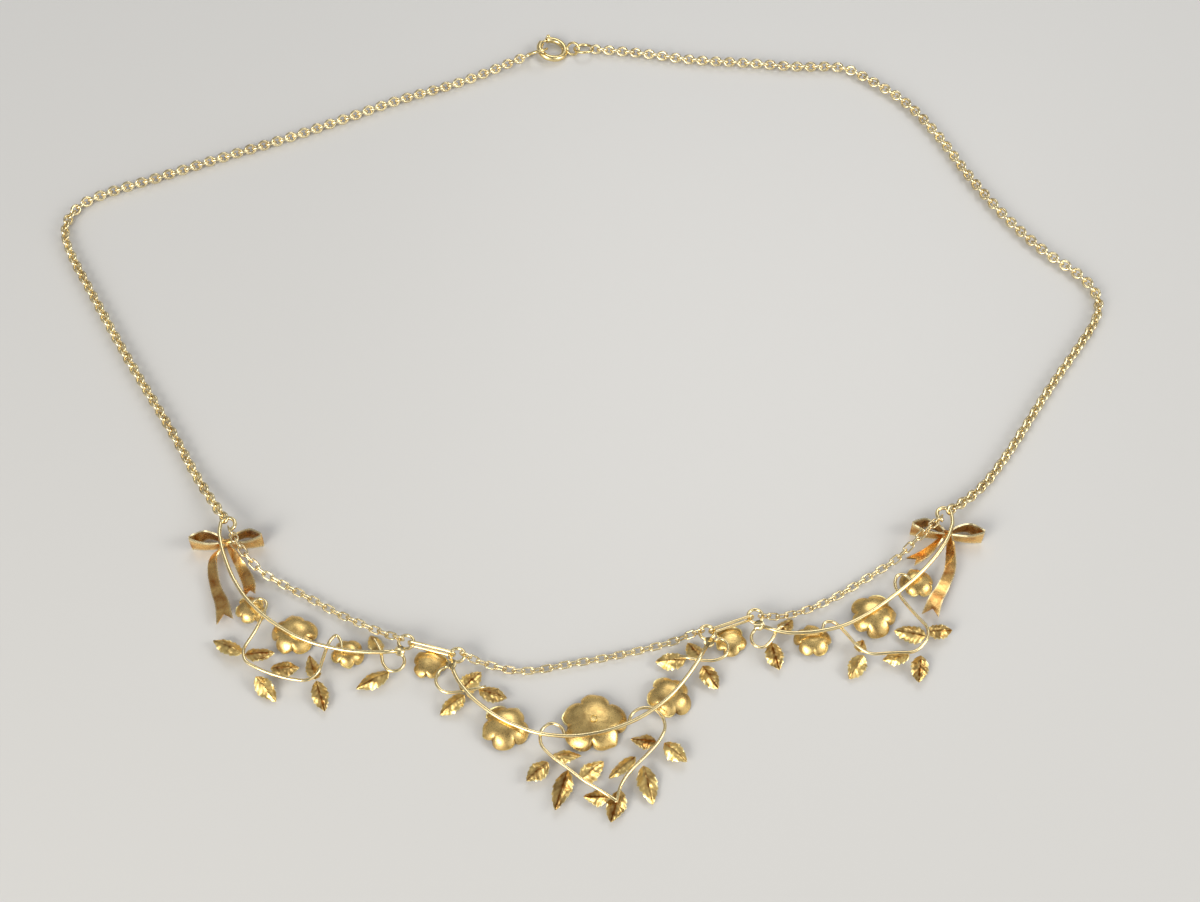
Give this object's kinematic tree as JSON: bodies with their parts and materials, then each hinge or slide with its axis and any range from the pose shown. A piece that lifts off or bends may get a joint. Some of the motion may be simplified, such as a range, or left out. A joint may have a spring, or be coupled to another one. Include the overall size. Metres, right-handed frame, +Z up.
{
  "type": "festoon necklace",
  "caption": "Festoon necklace lying face down: wire garlands of roses and leaves between two bows, with swag chains, back chains and a bolt ring clasp.",
  "frame": {"origin": "middle of the outline on the plane that the necklace lies on", "axes": "+X to the right across the necklace, +Y from the garlands towards the clasp, +Z up from the plane it lies on"},
  "size_m": [0.1558, 0.1365, 0.0034],
  "materials": {
    "bloomed_gold": "satin bloomed gold of the roses, browner in the folds",
    "rose_gold_leaf": "satin reddish gold of the leaves",
    "ribbon_gold": "polished yellow gold sheet, lightly toned",
    "wire_gold": "polished pale yellow gold wire",
    "chain_gold": "polished yellow gold chain links",
    "clasp_gold": "polished yellow gold tube and wire"
  },
  "bodies": {
    "necklace": {"bolt_ring": "clasp_gold", "centre_garland_wires": "wire_gold", "centre_leaf_1": "rose_gold_leaf", "centre_leaf_10": "rose_gold_leaf", "centre_leaf_11": "rose_gold_leaf", "centre_leaf_12": "rose_gold_leaf", "centre_leaf_13": "rose_gold_leaf", "centre_leaf_14": "rose_gold_leaf", "centre_leaf_15": "rose_gold_leaf", "centre_leaf_16": "rose_gold_leaf", "centre_leaf_2": "rose_gold_leaf", "centre_leaf_3": "rose_gold_leaf", "centre_leaf_4": "rose_gold_leaf", "centre_leaf_5": "rose_gold_leaf", "centre_leaf_6": "rose_gold_leaf", "centre_leaf_7": "rose_gold_leaf", "centre_leaf_8": "rose_gold_leaf", "centre_leaf_9": "rose_gold_leaf", "centre_rose_1": "bloomed_gold", "centre_rose_2": "bloomed_gold", "centre_rose_3": "bloomed_gold", "centre_swag_chain": "chain_gold", "left_back_chain": "chain_gold", "left_bow": "ribbon_gold", "left_garland_wires": "wire_gold", "left_jump_ring": "clasp_gold", "left_leaf_1": "rose_gold_leaf", "left_leaf_2": "rose_gold_leaf", "left_leaf_3": "rose_gold_leaf", "left_leaf_4": "rose_gold_leaf", "left_leaf_5": "rose_gold_leaf", "left_leaf_6": "rose_gold_leaf", "left_leaf_7": "rose_gold_leaf", "left_leaf_8": "rose_gold_leaf", "left_link_rose": "bloomed_gold", "left_oval_link": "wire_gold", "left_rose_1": "bloomed_gold", "left_rose_2": "bloomed_gold", "left_rose_3": "bloomed_gold", "left_swag_chain": "chain_gold", "right_back_chain": "chain_gold", "right_bow": "ribbon_gold", "right_garland_wires": "wire_gold", "right_jump_ring": "clasp_gold", "right_leaf_1": "rose_gold_leaf", "right_leaf_2": "rose_gold_leaf", "right_leaf_3": "rose_gold_leaf", "right_leaf_4": "rose_gold_leaf", "right_leaf_5": "rose_gold_leaf", "right_leaf_6": "rose_gold_leaf", "right_leaf_7": "rose_gold_leaf", "right_leaf_8": "rose_gold_leaf", "right_link_rose": "bloomed_gold", "right_oval_link": "wire_gold", "right_rose_1": "bloomed_gold", "right_rose_2": "bloomed_gold", "right_rose_3": "bloomed_gold", "right_swag_chain": "chain_gold"},
    "trigger": {"clasp_trigger": "clasp_gold"}
  },
  "joints": [
    {"name": "trigger_slide_round", "type": "hinge", "parent": "necklace", "child": "trigger", "pos_m": [-0.0042, 0.0652, 0.0009], "axis": [-0.1908, 0, -0.9816], "range_deg": [0, 40], "stiffness_Nm_per_rad": 0.0008, "springref_deg": -17.19}
  ]
}
